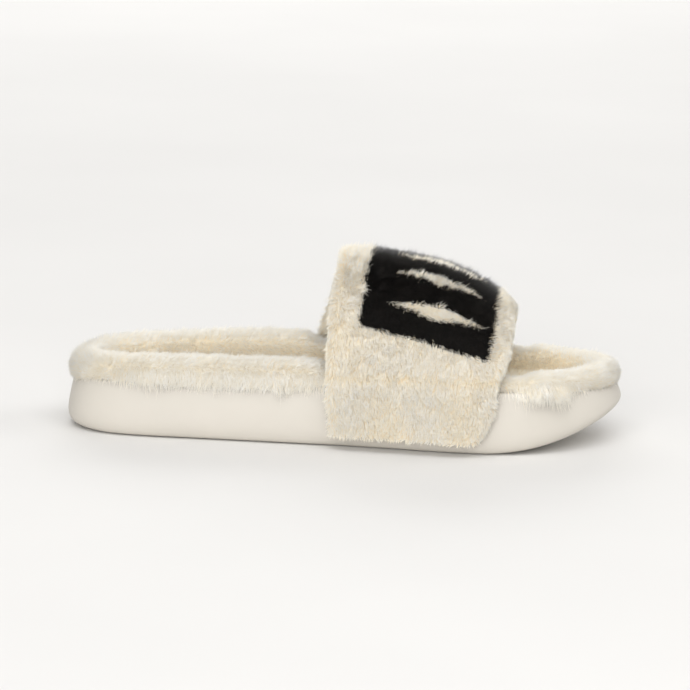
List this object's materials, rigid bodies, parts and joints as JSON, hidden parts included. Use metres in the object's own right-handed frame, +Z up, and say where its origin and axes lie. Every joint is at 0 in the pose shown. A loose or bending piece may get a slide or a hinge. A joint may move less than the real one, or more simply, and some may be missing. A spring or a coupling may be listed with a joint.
{
  "type": "fluffy house slipper",
  "caption": "Right-foot slide with a rounded cream foam sole, a plush-covered footbed and a wide plush strap with a black inlay of slender diamonds.",
  "frame": {"origin": "bottom centre of the whole slipper, on the surface it stands on", "axes": "+X towards the toe, +Y towards the inner side of the foot, +Z up"},
  "size_m": [0.26, 0.1138, 0.0876],
  "materials": {
    "sole_foam": "matte moulded closed-cell foam",
    "fibre_board": "raw cellulose board",
    "soft_foam": "open-cell padding foam",
    "cream_plush": "long-pile cream faux fur",
    "black_plush": "long-pile black faux fur",
    "lining_knit": "brushed knit lining",
    "reinforcing_fabric": "plain non-stretch cloth",
    "thread": "twisted polyester thread",
    "label_cloth": "woven satin label, blank"
  },
  "bodies": {
    "root": {"sole_unit": "sole_foam", "insole_board": "fibre_board", "footbed_foam": "soft_foam", "footbed_fur": "cream_plush", "footbed_edge_stitch": "thread", "strap_lining": "lining_knit", "strap_foam": "soft_foam", "strap_reinforcement": "reinforcing_fabric", "strap_fur": "cream_plush", "strap_black_inlay": "black_plush", "strap_front_stitch": "thread", "strap_rear_stitch": "thread", "strap_label": "label_cloth", "label_rear_stitch": "thread", "label_front_stitch": "thread", "strap_lozenge_1": "cream_plush", "strap_lozenge_2": "cream_plush", "strap_lozenge_3": "cream_plush", "strap_lozenge_4": "cream_plush", "strap_lozenge_5": "cream_plush"}
  },
  "joints": []
}
